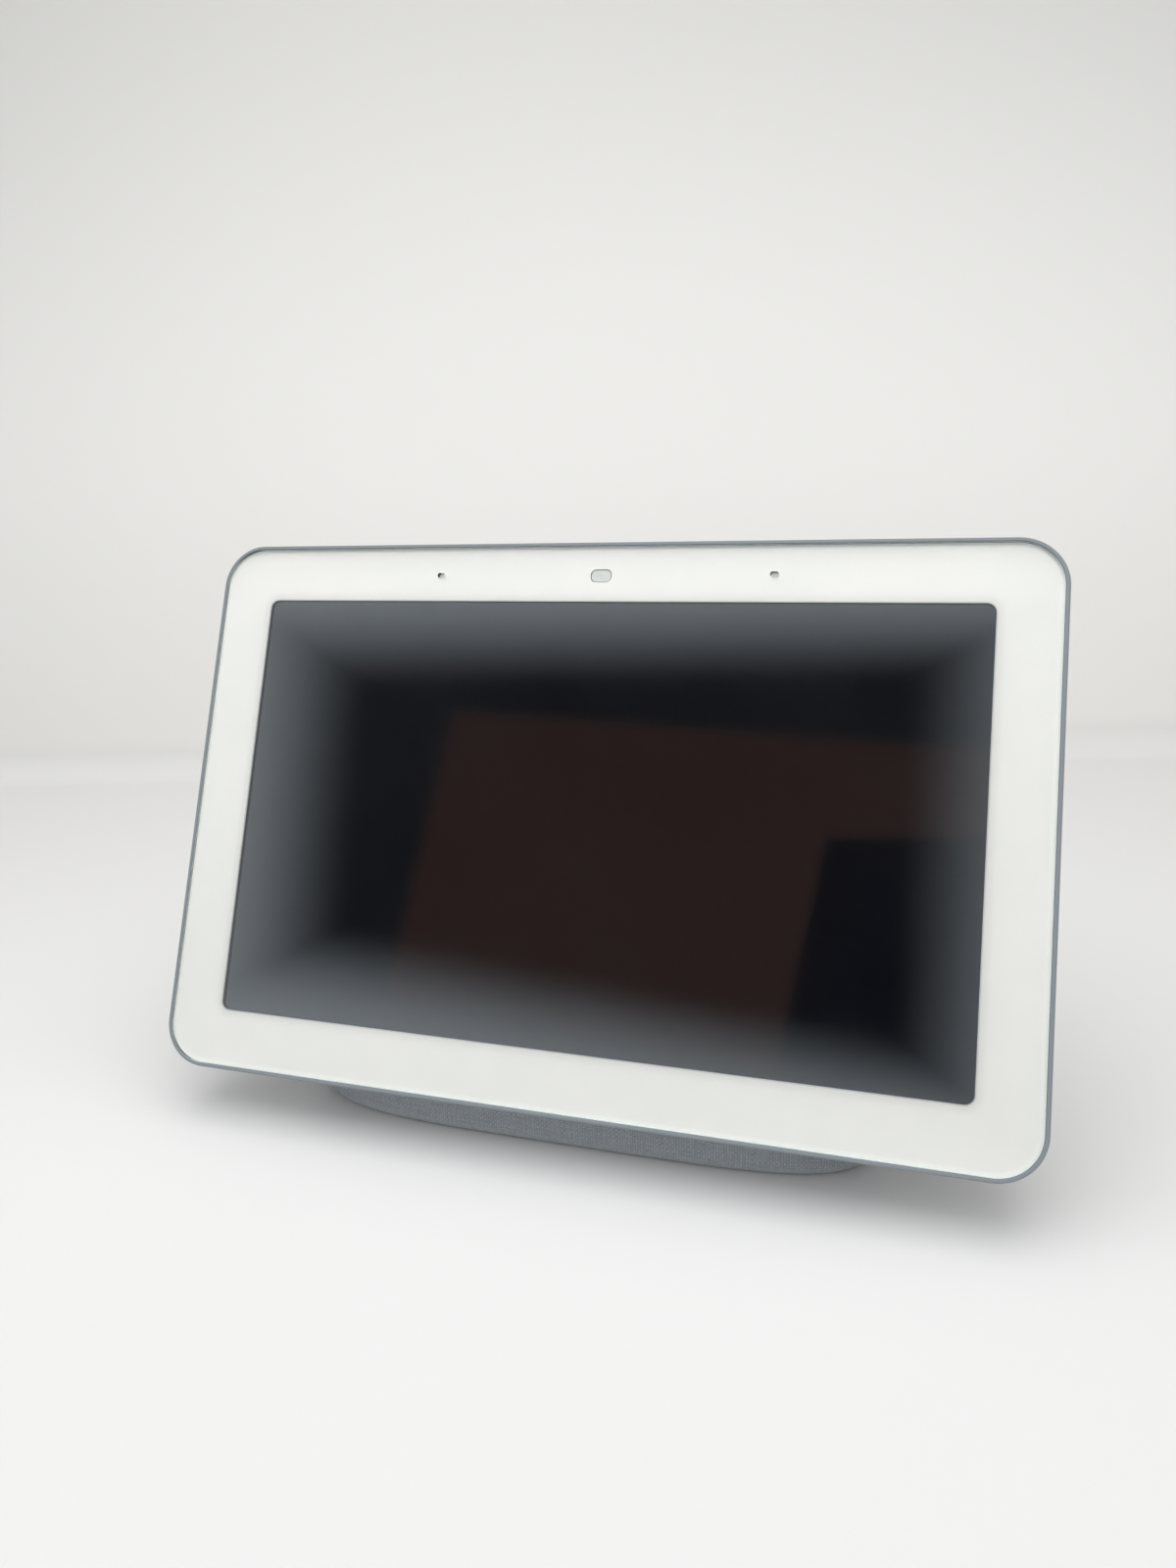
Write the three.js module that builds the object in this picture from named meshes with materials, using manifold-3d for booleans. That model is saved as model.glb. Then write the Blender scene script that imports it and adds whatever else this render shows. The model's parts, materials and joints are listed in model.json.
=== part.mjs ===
// Tabletop smart display: a tilted screen head carried by a fabric-covered speaker base.
// Millimetres. X is right seen from the front, the screen faces -Y, Z is up, and the origin is on the
// table under the middle of the object.
import * as THREE from "three";
import { mergeVertices } from "three/addons/utils/BufferGeometryUtils.js";
import Module from "manifold-3d";

const wasm = await Module();
wasm.setup();

// ---------- driving dimensions ----------
const FIT_GAP = 0.3; // space kept between neighbouring pieces

// The head: a flat panel that leans back. Its own frame has u right, v up along the screen and
// w out of the screen, with the origin in the middle of the glass face.
const HEAD_TILT = THREE.MathUtils.degToRad(25);
const HEAD_CENTRE = new THREE.Vector3(0, -9.22, 65.62);
const HEAD_BACK = -9.0;
const WALL_INSIDE = -7.5;
const GLASS = { width: 175.8, height: 113.4, radius: 8.0, thick: 1.1 };
const WINDOW = { width: 153.4, height: 90.9, radius: 1.8 };
const LIP = { width: 178.0, height: 115.6, radius: 9.1 };
const LEDGE = -2.2; // the step that the glass adhesive sits on
const CAVITY = { width: 172.9, height: 110.5, radius: 6.0 };
const TOP_FEATURES_V = 50.9; // height of the microphones and the light sensor above the centre
const MIC_U = 35.5;
const MIC_HOLE = { width: 1.6, height: 1.2 };
const SENSOR_WINDOW = { width: 4.5, height: 2.8, radius: 1.2 };

// Layers behind the glass, as [front, back] along w.
const LAYER = {
  border: [-1.3, -1.5],
  adhesive: [-1.7, -2.0],
  lcd: [-1.8, -2.9],
  backlight: [-3.2, -4.2],
  midFrame: [-4.5, -4.8],
  spreader: [-5.0, -5.3],
  shield: [-5.5, -6.25],
  board: [-6.4, -7.2],
};
const STACK = { width: 157.6, height: 94.0, radius: 1.0 };

// Flat parts of the head, each placed by its middle and size across the screen.
const SPREADER = { u: -14, v: -8, width: 66, height: 44 };
const SHIELD = { u: -20, v: -6, width: 34, height: 28 };
const BOARD = { u: 0, v: -12.5, width: 112, height: 61 };
const ANTENNA_LEFT = { u: -83, v: 0, width: 5, height: 42 };
const ANTENNA_RIGHT = { u: 83, v: -26, width: 5, height: 36 };
const ANTENNA_LAYER = [-5.4, -6.2];

// Flat cables start between the layers at their front end and fold round the lower edge of the stack.
const FLEX = { thick: 0.25, bend: 0.6, endV: -42, endW: -5.65 };
const LCD_FLEX = { u: -12, width: 22, startV: -47.3, startW: -2.3, foldV: -50.6 };
const TOUCH_FLEX = { u: 24, width: 12, startV: -50.9, startW: -1.75, foldV: -53.4 };

// The base: horizontal sections are superellipses that narrow towards a rounded top.
const BASE = {
  halfWidth: 62.4, front: -25.9, rear: 33.65, corner: 4.6,
  riseFrom: 10, top: 92, dome: 2.6, topRear: 10, taper: 0.06, lean: 0.05,
};
const BASE_ROUNDING = 3.3; // height of the small rounding along the bottom edge
const ROUNDING_CURVE = 0.2; // how fast the rounding draws in, per mm squared
const FABRIC = { thick: 0.8, bottom: 2.2 };
const SHELL = { inset: 1.1, wall: 2.0, bottom: 1.7 };
const FRONT_WALL = { from: -9.3, to: -11.3 }; // along w, against the back of the head
const FOOT = { inset: 0.9, thick: 1.2 };
const PLATE = { bottom: 1.5, thick: 2.2 };
const CABLE_WINDOW = { u: 0, v: -29, width: 18, height: 8 };

const MUTE = { v: 51.2, restU: -1.25, travel: 2.5, neckWidth: 6, neckHeight: 2.6, back: -9.6 };
const ROCKER = { u: 81.5, v: 18, width: 4.4, length: 28, back: -9.8, ribV: 9 };
const ROCKER_WINGS = { width: 6.2, length: 10 }; // short, so that the rocker can tip clear of the wall
const KEY_FLANGE = [-6.8, -7.2]; // level of the flanges that keep slider and rocker in the housing
const KEY_FRONT = -7.0;
const BACK_WALL_CUT = [-7, -10];
const SPEAKER = { y: 25.1, z: 34, flange: 20.6, collarInside: 18.6 };
const JACK = {
  x: -38, z: 14, recessFloor: 27.6, mouth: 33.1,
  fabricHole: 6.9, shellHole: 6.55, collar: 6.2, recess: 5.2, socket: 3.1, pin: 0.9,
};

// ---------- materials ----------
const MATERIALS = {
  clear_glass: { color: 0xf2f6f6, roughness: 0.05, metalness: 0 },
  white_ink: { color: 0xeff0ec, roughness: 0.35, metalness: 0 },
  housing_grey: { color: 0x858b91, roughness: 0.55, metalness: 0 },
  knit_grey: { color: 0x747a80, roughness: 0.95, metalness: 0 },
  foot_rubber: { color: 0x6a6f75, roughness: 0.85, metalness: 0 },
  lcd_black: { color: 0x0b0b0d, roughness: 0.15, metalness: 0 },
  light_guide: { color: 0xe8e8e4, roughness: 0.5, metalness: 0 },
  sheet_steel: { color: 0xa9acae, roughness: 0.35, metalness: 1 },
  spreader_aluminium: { color: 0xc9cbcd, roughness: 0.4, metalness: 1 },
  board_green: { color: 0x1f5a3a, roughness: 0.5, metalness: 0 },
  flex_amber: { color: 0xa8682a, roughness: 0.45, metalness: 0 },
  chip_black: { color: 0x17181a, roughness: 0.5, metalness: 0 },
  gasket_rubber: { color: 0x26272a, roughness: 0.9, metalness: 0 },
  inner_plastic: { color: 0x3a3d41, roughness: 0.6, metalness: 0 },
  screw_steel: { color: 0x8d9092, roughness: 0.3, metalness: 1 },
  magnet_metal: { color: 0x2b2c2f, roughness: 0.4, metalness: 0.6 },
  cone_paper: { color: 0x2f2e2d, roughness: 0.9, metalness: 0 },
  pin_brass: { color: 0xc9a552, roughness: 0.25, metalness: 1 },
  lead_jacket: { color: 0x1c1c1e, roughness: 0.6, metalness: 0 },
};

// ---------- solids ----------
function toSolid(geometry) {
  const bare = geometry.clone();
  bare.deleteAttribute("normal");
  bare.deleteAttribute("uv");
  const merged = mergeVertices(bare, 1e-5);
  return new wasm.Manifold(new wasm.Mesh({
    numProp: 3,
    vertProperties: new Float32Array(merged.attributes.position.array),
    triVerts: new Uint32Array(merged.index.array),
  }));
}

function toGeometry(solid) {
  const mesh = solid.getMesh();
  const geometry = new THREE.BufferGeometry();
  geometry.setAttribute("position", new THREE.BufferAttribute(new Float32Array(mesh.vertProperties), 3));
  geometry.setIndex(new THREE.BufferAttribute(new Uint32Array(mesh.triVerts), 1));
  return geometry;
}

function cut(geometry, ...tools) {
  let solid = toSolid(geometry);
  for (const tool of tools) solid = solid.subtract(toSolid(tool));
  return toGeometry(solid);
}

function join(geometry, ...others) {
  let solid = toSolid(geometry);
  for (const other of others) solid = solid.add(toSolid(other));
  return toGeometry(solid);
}

function box(x, y, z, [width, depth, height]) {
  return new THREE.BoxGeometry(width, depth, height).translate(x, y, z);
}

// A plate between two levels along w, from a flat outline. An arc is drawn with two facets for each of
// its curve segments.
function plate(outline, [front, back], curveSegments = 3) {
  const options = { depth: front - back, bevelEnabled: false, curveSegments };
  return new THREE.ExtrudeGeometry(outline, options).translate(0, 0, back);
}

function roundedRect({ width, height, radius }, u = 0, v = 0) {
  const [left, right, low, high] = [u - width / 2, u + width / 2, v - height / 2, v + height / 2];
  const quarter = Math.PI / 2;
  const shape = new THREE.Shape();
  shape.absarc(right - radius, low + radius, radius, -quarter, 0, false);
  shape.absarc(right - radius, high - radius, radius, 0, quarter, false);
  shape.absarc(left + radius, high - radius, radius, quarter, 2 * quarter, false);
  shape.absarc(left + radius, low + radius, radius, 2 * quarter, 3 * quarter, false);
  return shape;
}

function slot({ width, height }, u, v) {
  const radius = Math.min(width, height) / 2 - 0.001;
  return roundedRect({ width, height, radius }, u, v);
}

// A solid through a stack of convex rings, closed by a fan at each end.
function loft(rings) {
  const count = rings[0].length;
  const middle = (ring) => ring.reduce((sum, p) => sum.add(p), new THREE.Vector3()).divideScalar(count);
  const points = [...rings.flat(), middle(rings[0]), middle(rings.at(-1))];
  const index = [];
  for (let level = 0; level < rings.length - 1; level++) {
    for (let i = 0; i < count; i++) {
      const here = level * count + i;
      const next = level * count + ((i + 1) % count);
      index.push(here, next, next + count, here, next + count, here + count);
    }
  }
  const bottomMiddle = rings.length * count;
  const lastRing = (rings.length - 1) * count;
  for (let i = 0; i < count; i++) {
    const next = (i + 1) % count;
    index.push(bottomMiddle, next, i);
    index.push(bottomMiddle + 1, lastRing + i, lastRing + next);
  }
  return new THREE.BufferGeometry().setFromPoints(points).setIndex(index);
}

function turned(profile, segments) {
  const points = profile.map(([radius, along]) => new THREE.Vector2(radius, along));
  return new THREE.LatheGeometry(points, segments).rotateX(Math.PI / 2);
}

function disc(radius, [front, back], segments = 20) {
  return turned([[0, back], [radius, back], [radius, front], [0, front]], segments);
}

function ring(inner, outer, [front, back], segments = 20) {
  return turned([[inner, back], [outer, back], [outer, front], [inner, front], [inner, back]], segments);
}

// A round lead along a smooth path.
function lead(points, radius, steps) {
  const sides = 8;
  const outline = new THREE.Shape();
  outline.absarc(0, 0, radius, 0, 2 * Math.PI, false);
  const extrudePath = new THREE.CatmullRomCurve3(points);
  const options = { extrudePath, steps, curveSegments: sides / 2, bevelEnabled: false };
  return new THREE.ExtrudeGeometry(outline, options);
}

// ---------- placing ----------
const HEAD_MATRIX = new THREE.Matrix4().makeBasis(
  new THREE.Vector3(1, 0, 0),
  new THREE.Vector3(0, Math.sin(HEAD_TILT), Math.cos(HEAD_TILT)),
  new THREE.Vector3(0, -Math.cos(HEAD_TILT), Math.sin(HEAD_TILT)),
).setPosition(HEAD_CENTRE);

const onHead = (geometry) => geometry.applyMatrix4(HEAD_MATRIX);
const headPoint = (u, v, w) => new THREE.Vector3(u, v, w).applyMatrix4(HEAD_MATRIX);

// Turns a piece made along +Z so that it points to the rear, +Y.
const facingRear = (geometry, x, y, z) => geometry.rotateX(-Math.PI / 2).translate(x, y, z);
const onSpeaker = (geometry) => facingRear(geometry, 0, SPEAKER.y, SPEAKER.z);

const group = new THREE.Group();
function addPiece(name, slotName, geometry) {
  const solid = toGeometry(toSolid(geometry));
  solid.computeVertexNormals();
  const mesh = new THREE.Mesh(solid, new THREE.MeshStandardMaterial(MATERIALS[slotName]));
  mesh.name = name;
  mesh.material.name = slotName;
  group.add(mesh);
}

// ---------- head: screen stack ----------
const micHoles = () => [-MIC_U, MIC_U].map((u) => slot(MIC_HOLE, u, TOP_FEATURES_V));

function frontGlass() {
  const outline = roundedRect(GLASS);
  outline.holes.push(...micHoles());
  return plate(outline, [0, -GLASS.thick], 4);
}

function whiteBorder() {
  const outline = roundedRect({ width: GLASS.width - 0.4, height: GLASS.height - 0.4, radius: 7.8 });
  outline.holes.push(...micHoles(), roundedRect(WINDOW), roundedRect(SENSOR_WINDOW, 0, TOP_FEATURES_V));
  return plate(outline, LAYER.border);
}

function displayAdhesive() {
  const outline = roundedRect({ width: GLASS.width - 0.6, height: GLASS.height - 0.6, radius: 7.6 });
  outline.holes.push(roundedRect({ width: CAVITY.width - 0.4, height: CAVITY.height - 0.4, radius: 5.8 }));
  return plate(outline, LAYER.adhesive);
}

const stackSheet = (layer) => plate(roundedRect(STACK), layer, 1);
const block = ({ u, v, width, height }, layer) =>
  plate(roundedRect({ width, height, radius: 0.6 }, u, v), layer, 1);

// A thin strip that folds round the lower edge of the stack, from the front to the main board.
function foldedFlex({ u, width, startV, startW, foldV }) {
  const { thick, bend, endV, endW } = FLEX;
  const outline = new THREE.Shape();
  outline.moveTo(startV, startW);
  outline.lineTo(foldV + bend, startW);
  outline.lineTo(foldV, startW - bend);
  outline.lineTo(foldV, endW + bend);
  outline.lineTo(foldV + bend, endW);
  outline.lineTo(endV, endW);
  outline.lineTo(endV, endW + thick);
  outline.lineTo(foldV + bend + thick / 2, endW + thick);
  outline.lineTo(foldV + thick, endW + bend + thick / 2);
  outline.lineTo(foldV + thick, startW - bend - thick / 2);
  outline.lineTo(foldV + bend + thick / 2, startW - thick);
  outline.lineTo(startV, startW - thick);
  const strip = new THREE.ExtrudeGeometry(outline, { depth: width, bevelEnabled: false });
  // The outline is drawn in (v, w) and pulled along u.
  const upright = new THREE.Matrix4().makeBasis(
    new THREE.Vector3(0, 1, 0), new THREE.Vector3(0, 0, 1), new THREE.Vector3(1, 0, 0));
  return strip.applyMatrix4(upright).translate(u - width / 2, 0, 0);
}

addPiece("front_glass", "clear_glass", onHead(frontGlass()));
addPiece("white_border", "white_ink", onHead(whiteBorder()));
addPiece("display_adhesive", "gasket_rubber", onHead(displayAdhesive()));
addPiece("lcd_panel", "lcd_black", onHead(stackSheet(LAYER.lcd)));
addPiece("backlight_unit", "light_guide", onHead(stackSheet(LAYER.backlight)));
addPiece("mid_frame", "sheet_steel", onHead(stackSheet(LAYER.midFrame)));
addPiece("heat_spreader", "spreader_aluminium", onHead(block(SPREADER, LAYER.spreader)));
addPiece("processor_shield", "sheet_steel", onHead(block(SHIELD, LAYER.shield)));
addPiece("main_board", "board_green", onHead(block(BOARD, LAYER.board)));
addPiece("lcd_flex", "flex_amber", onHead(foldedFlex(LCD_FLEX)));
addPiece("touch_flex", "flex_amber", onHead(foldedFlex(TOUCH_FLEX)));

// ---------- head: microphones, light sensor and aerials ----------
const SENSOR_BOARD = { width: 86, height: 6, radius: 0.8, layer: [-2.8, -3.6], soundHole: 1.0 };
const MICROPHONE = { width: 3.5, height: 2.7, layer: [-3.85, -4.85] };
const MIC_GASKET = { width: 4, height: 4, radius: 0.8, layer: [-1.75, -2.6] };
const LIGHT_SENSOR = { width: 2, height: 1.6, layer: [-2.15, -2.6] };
const LIGHT_PIPE = { width: 3.9, height: 2.2, radius: 0.9, layer: [-1.3, -1.9] };

function sensorBoard() {
  const { soundHole, layer } = SENSOR_BOARD;
  const outline = roundedRect(SENSOR_BOARD, 0, TOP_FEATURES_V);
  for (const u of [-MIC_U, MIC_U]) {
    outline.holes.push(slot({ width: soundHole, height: soundHole }, u, TOP_FEATURES_V));
  }
  return plate(outline, layer, 2);
}

function micGasket(u) {
  const outline = roundedRect(MIC_GASKET, u, TOP_FEATURES_V);
  outline.holes.push(slot(MIC_HOLE, u, TOP_FEATURES_V));
  return plate(outline, MIC_GASKET.layer, 2);
}

const topBlock = (size, u) => block({ ...size, u, v: TOP_FEATURES_V }, size.layer);

addPiece("sensor_board", "board_green", onHead(sensorBoard()));
for (const [side, sign] of [["left", -1], ["right", 1]]) {
  const u = sign * MIC_U;
  addPiece(`microphone_${side}`, "chip_black", onHead(topBlock(MICROPHONE, u)));
  addPiece(`mic_gasket_${side}`, "gasket_rubber", onHead(micGasket(u)));
}
addPiece("light_sensor", "chip_black", onHead(topBlock(LIGHT_SENSOR, 0)));
addPiece("light_pipe", "light_guide", onHead(
  plate(roundedRect(LIGHT_PIPE, 0, TOP_FEATURES_V), LIGHT_PIPE.layer, 2)));
addPiece("antenna_left", "flex_amber", onHead(block(ANTENNA_LEFT, ANTENNA_LAYER)));
addPiece("antenna_right", "flex_amber", onHead(block(ANTENNA_RIGHT, ANTENNA_LAYER)));

// ---------- head: rear housing ----------
// Outer sizes of the tray from the lip to the rounded back edge, as [w, growth of the outline].
const HOUSING_PROFILE = [
  [HEAD_BACK, -5.0], [-8.75, -3.0], [-8.2, -1.5], [-7.2, -0.5], [-5.8, 0.1], [-3.4, 0.5], [-1.2, 0.3], [0, 0],
];
const POCKET_GAP = 0.25;
const ROCKER_GAP = { side: 0.35, end: 0.4 };
const NECK_SCREWS = [[-26, -12], [26, -12], [-26, 12], [26, 12]];
const NECK_SCREW = { hole: 1.7, shaft: 1.4, head: 2.9 };

function housingRing([w, growth]) {
  const outline = roundedRect({
    width: LIP.width + growth, height: LIP.height + growth, radius: LIP.radius + growth / 2,
  });
  return outline.getPoints(4).slice(0, -1).map((p) => new THREE.Vector3(p.x, p.y, w));
}

function rearHousing() {
  const glassPocket = {
    width: GLASS.width + 2 * POCKET_GAP,
    height: GLASS.height + 2 * POCKET_GAP,
    radius: GLASS.radius + POCKET_GAP,
  };
  const muteSlot = {
    width: MUTE.neckWidth + MUTE.travel + 2 * FIT_GAP,
    height: MUTE.neckHeight + 2 * FIT_GAP,
  };
  const rockerSlot = {
    width: ROCKER.width + 2 * ROCKER_GAP.side,
    height: ROCKER.length + 2 * ROCKER_GAP.end,
  };
  const tools = [
    plate(roundedRect(glassPocket), [1, LEDGE], 4),
    plate(roundedRect(CAVITY), [LEDGE + 0.5, WALL_INSIDE]),
    box(CABLE_WINDOW.u, CABLE_WINDOW.v, -8, [CABLE_WINDOW.width, CABLE_WINDOW.height, 4]),
    plate(slot(muteSlot, 0, MUTE.v), BACK_WALL_CUT),
    plate(slot(rockerSlot, ROCKER.u, ROCKER.v), BACK_WALL_CUT),
    ...NECK_SCREWS.map(([u, v]) => disc(NECK_SCREW.hole, BACK_WALL_CUT, 12).translate(u, v, 0)),
  ];
  return cut(loft(HOUSING_PROFILE.map(housingRing)), ...tools);
}

addPiece("rear_housing", "housing_grey", onHead(rearHousing()));

// ---------- head: microphone mute slider ----------
function muteSlider() {
  const { restU, v, neckWidth, neckHeight, back } = MUTE;
  const neck = plate(slot({ width: neckWidth, height: neckHeight }, restU, v), [KEY_FRONT, back]);
  const flange = block({ u: restU, v, width: neckWidth + 5, height: neckHeight + 2 }, KEY_FLANGE);
  return join(neck, flange);
}

const MUTE_LEVER = { u: MUTE.restU, v: MUTE.v, width: 1.6, height: 1.6 };
const MUTE_SWITCH = { u: 0, v: MUTE.v, width: 9, height: 3.6 };

addPiece("mute_slider", "housing_grey", onHead(muteSlider()));
addPiece("mute_switch_lever", "chip_black", onHead(block(MUTE_LEVER, [-5.6, -6.6])));
addPiece("mute_switch_body", "sheet_steel", onHead(block(MUTE_SWITCH, [-3.85, -5.4])));

// ---------- head: volume rocker and its two switches ----------
function volumeRocker() {
  const { u, v, width, length, back, ribV } = ROCKER;
  const cap = plate(slot({ width, height: length }, u, v), [KEY_FRONT, back]);
  const wings = block({ u, v, width: ROCKER_WINGS.width, height: ROCKER_WINGS.length }, KEY_FLANGE);
  const ribs = [-ribV, ribV].map((offset) =>
    block({ u, v: v + offset, width: 2.4, height: 2.4 }, [KEY_FRONT + 0.9, KEY_FRONT - 0.2]));
  return join(cap, wings, ...ribs);
}

const VOLUME_BOARD = { u: ROCKER.u, v: ROCKER.v, width: 4.6, height: 30 };
const TACT_SWITCH = { side: 4.4, layer: [-3.4, -4.8], well: 1.3, wellLayer: [-4.0, -5.0] };
const PLUNGER = { radius: 1.0, layer: [-4.4, -5.6] };

function tactSwitch(v) {
  const { side, layer, well, wellLayer } = TACT_SWITCH;
  const body = block({ u: ROCKER.u, v, width: side, height: side }, layer);
  return cut(body, disc(well, wellLayer, 12).translate(ROCKER.u, v, 0));
}

addPiece("volume_rocker", "housing_grey", onHead(volumeRocker()));
addPiece("volume_board", "board_green", onHead(block(VOLUME_BOARD, [-2.4, -3.2])));
for (const [direction, sign] of [["up", 1], ["down", -1]]) {
  const v = ROCKER.v + sign * ROCKER.ribV;
  addPiece(`volume_${direction}_switch`, "sheet_steel", onHead(tactSwitch(v)));
  addPiece(`volume_${direction}_plunger`, "chip_black", onHead(
    disc(PLUNGER.radius, PLUNGER.layer, 12).translate(ROCKER.u, v, 0)));
}

// ---------- base: outer form ----------
const DOME_ANGLES = [20, 34, 45, 54, 62, 69, 76, 82, 87].map(THREE.MathUtils.degToRad);

// One horizontal section: half width, front and rear at a height, drawn in by an inset. The section is
// smaller still below the height at which the rounded bottom edge ends.
function baseSection(z, dome, inset, edge = 0) {
  const above = Math.max(0, z - BASE.riseFrom);
  const rounding = Math.max(0, edge - z) ** 2 * ROUNDING_CURVE;
  const rearReach = BASE.rear - BASE.topRear - BASE.lean * above;
  return {
    z,
    halfWidth: (BASE.halfWidth - BASE.taper * above) * dome - inset - rounding,
    front: BASE.front + inset + rounding,
    rear: BASE.topRear + rearReach * dome - inset - rounding,
  };
}

function baseRing({ z, halfWidth, front, rear }) {
  const segments = 44;
  const middle = (front + rear) / 2;
  const halfDepth = (rear - front) / 2;
  const bulge = (value) => Math.sign(value) * Math.abs(value) ** (2 / BASE.corner);
  return Array.from({ length: segments }, (_, i) => {
    const angle = ((i + 0.5) / segments) * 2 * Math.PI;
    const x = halfWidth * bulge(Math.cos(angle));
    const y = middle + halfDepth * bulge(Math.sin(angle));
    return new THREE.Vector3(x, y, z);
  });
}

// The whole base form between a floor level and its dome, set in by an inset.
function baseForm(bottom, inset, edge = 0) {
  const straight = [bottom, (bottom + BASE_ROUNDING) / 2, BASE_ROUNDING, BASE.riseFrom]
    .map((z) => baseSection(z, 1, inset, edge));
  const domed = DOME_ANGLES.map((angle) => {
    const climb = Math.sin(angle) ** (2 / BASE.dome);
    const dome = Math.cos(angle) ** (2 / BASE.dome);
    return baseSection(BASE.riseFrom + climb * (BASE.top - inset - BASE.riseFrom), dome, inset);
  });
  return loft([...straight, ...domed].map(baseRing));
}

// Everything in front of a plane parallel to the back of the head.
function inFrontOf(w) {
  return onHead(new THREE.BoxGeometry(400, 400, 200).translate(0, 0, w + 100));
}

function jackHole(radius) {
  return facingRear(disc(radius, [20, 0], 20), JACK.x, JACK.recessFloor - 4, JACK.z);
}

function fabricSleeve() {
  const below = new THREE.BoxGeometry(200, 200, 2 * FABRIC.bottom);
  const outside = baseForm(SHELL.bottom, 0, BASE_ROUNDING);
  const inside = baseForm(0, FABRIC.thick, BASE_ROUNDING);
  return cut(outside, inside, inFrontOf(FRONT_WALL.from), below, jackHole(JACK.fabricHole));
}

// ---------- base: moulded shell ----------
const BASE_SCREWS = [[-49.5, -16.4], [49.5, -16.4], [-49.5, 24.2], [49.5, 24.2]];
const BOSS = { radius: 4.2, bottom: 4.1, top: 13, hole: 1.3 };

function screwBoss([x, y]) {
  return disc(BOSS.radius, [BOSS.top, BOSS.bottom], 14).translate(x, y, 0);
}

function screwHole([x, y]) {
  return disc(BOSS.hole, [BOSS.top - 1.5, 0], 10).translate(x, y, 0);
}

// Upright slots in the rear wall that let the speaker's sound out through the fabric.
function soundSlots() {
  const count = 8;
  const pitch = 4.2;
  return Array.from({ length: count }, (_, i) => {
    const x = (i - (count - 1) / 2) * pitch;
    const height = 2 * Math.sqrt((SPEAKER.collarInside - 1) ** 2 - x ** 2);
    return box(x, SPEAKER.y + 6, SPEAKER.z, [2.2, 8, height]);
  });
}

function baseShell() {
  const hollow = toSolid(baseForm(0, SHELL.inset + SHELL.wall)).subtract(toSolid(inFrontOf(FRONT_WALL.to)));
  const outerForm = toSolid(baseForm(SHELL.bottom, SHELL.inset, BASE_ROUNDING));
  const outer = outerForm.subtract(toSolid(inFrontOf(FRONT_WALL.from)));
  const collarLevels = [12, 1.2];
  const collar = onSpeaker(ring(SPEAKER.collarInside, SPEAKER.flange, collarLevels, 28));
  let shell = outer.subtract(hollow).add(toSolid(collar).intersect(outer));
  for (const place of BASE_SCREWS) {
    shell = shell.add(toSolid(screwBoss(place)).intersect(outer)).subtract(toSolid(screwHole(place)));
  }
  const cableWindow = onHead(
    box(CABLE_WINDOW.u, CABLE_WINDOW.v, -10.5, [CABLE_WINDOW.width, CABLE_WINDOW.height, 4]));
  const neckHoles = NECK_SCREWS.map(([u, v]) =>
    onHead(disc(NECK_SCREW.hole, [-9, -13], 12).translate(u, v, 0)));
  return cut(toGeometry(shell), cableWindow, ...neckHoles, ...soundSlots(), jackHole(JACK.shellHole));
}

addPiece("fabric_sleeve", "knit_grey", fabricSleeve());
addPiece("base_shell", "housing_grey", baseShell());

// ---------- base: underside ----------
function baseOutline(bottom, thick, inset) {
  const section = baseSection(BASE.riseFrom, 1, inset);
  return loft([bottom, bottom + thick].map((z) => baseRing({ ...section, z })));
}

const BASE_SCREW = { shaft: 1.0, shaftTop: 10.5, head: 2.7, headLevels: [2.6, 1.5] };
const PLATE_HOLE = { radius: 1.7, sunkRadius: 3.1, sunkTop: 2.9 };

function basePlate() {
  const { radius, sunkRadius, sunkTop } = PLATE_HOLE;
  const holes = BASE_SCREWS.map(([x, y]) => disc(radius, [5, 0], 12).translate(x, y, 0));
  const heads = BASE_SCREWS.map(([x, y]) => disc(sunkRadius, [sunkTop, 0], 12).translate(x, y, 0));
  return cut(baseOutline(PLATE.bottom, PLATE.thick, SHELL.inset + SHELL.wall + FIT_GAP), ...holes, ...heads);
}

function baseScrew([x, y]) {
  const head = disc(BASE_SCREW.head, BASE_SCREW.headLevels, 12);
  const shaft = disc(BASE_SCREW.shaft, [BASE_SCREW.shaftTop, 2.0], 10);
  return join(head, shaft).translate(x, y, 0);
}

addPiece("base_plate", "inner_plastic", basePlate());
addPiece("rubber_foot", "foot_rubber", baseOutline(0, FOOT.thick, FOOT.inset));
BASE_SCREWS.forEach((place, i) => addPiece(`base_screw_${i + 1}`, "screw_steel", baseScrew(place)));

// ---------- neck: bracket and screws that hold the head to the base ----------
function neckBracket() {
  const outline = roundedRect({ width: 66, height: 38, radius: 4 });
  outline.holes.push(...NECK_SCREWS.map(([u, v]) => {
    const hole = new THREE.Path();
    hole.absarc(u, v, NECK_SCREW.hole, 0, 2 * Math.PI, true);
    return hole;
  }));
  return plate(outline, [-11.6, -13.1]);
}

function neckScrew([u, v]) {
  const head = disc(NECK_SCREW.head, [-13.4, -14.9], 12);
  const shaft = disc(NECK_SCREW.shaft, [-7.7, -14], 12);
  return join(head, shaft).translate(u, v, 0);
}

addPiece("neck_bracket", "sheet_steel", onHead(neckBracket()));
NECK_SCREWS.forEach((place, i) => addPiece(`neck_screw_${i + 1}`, "screw_steel", onHead(neckScrew(place))));

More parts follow.
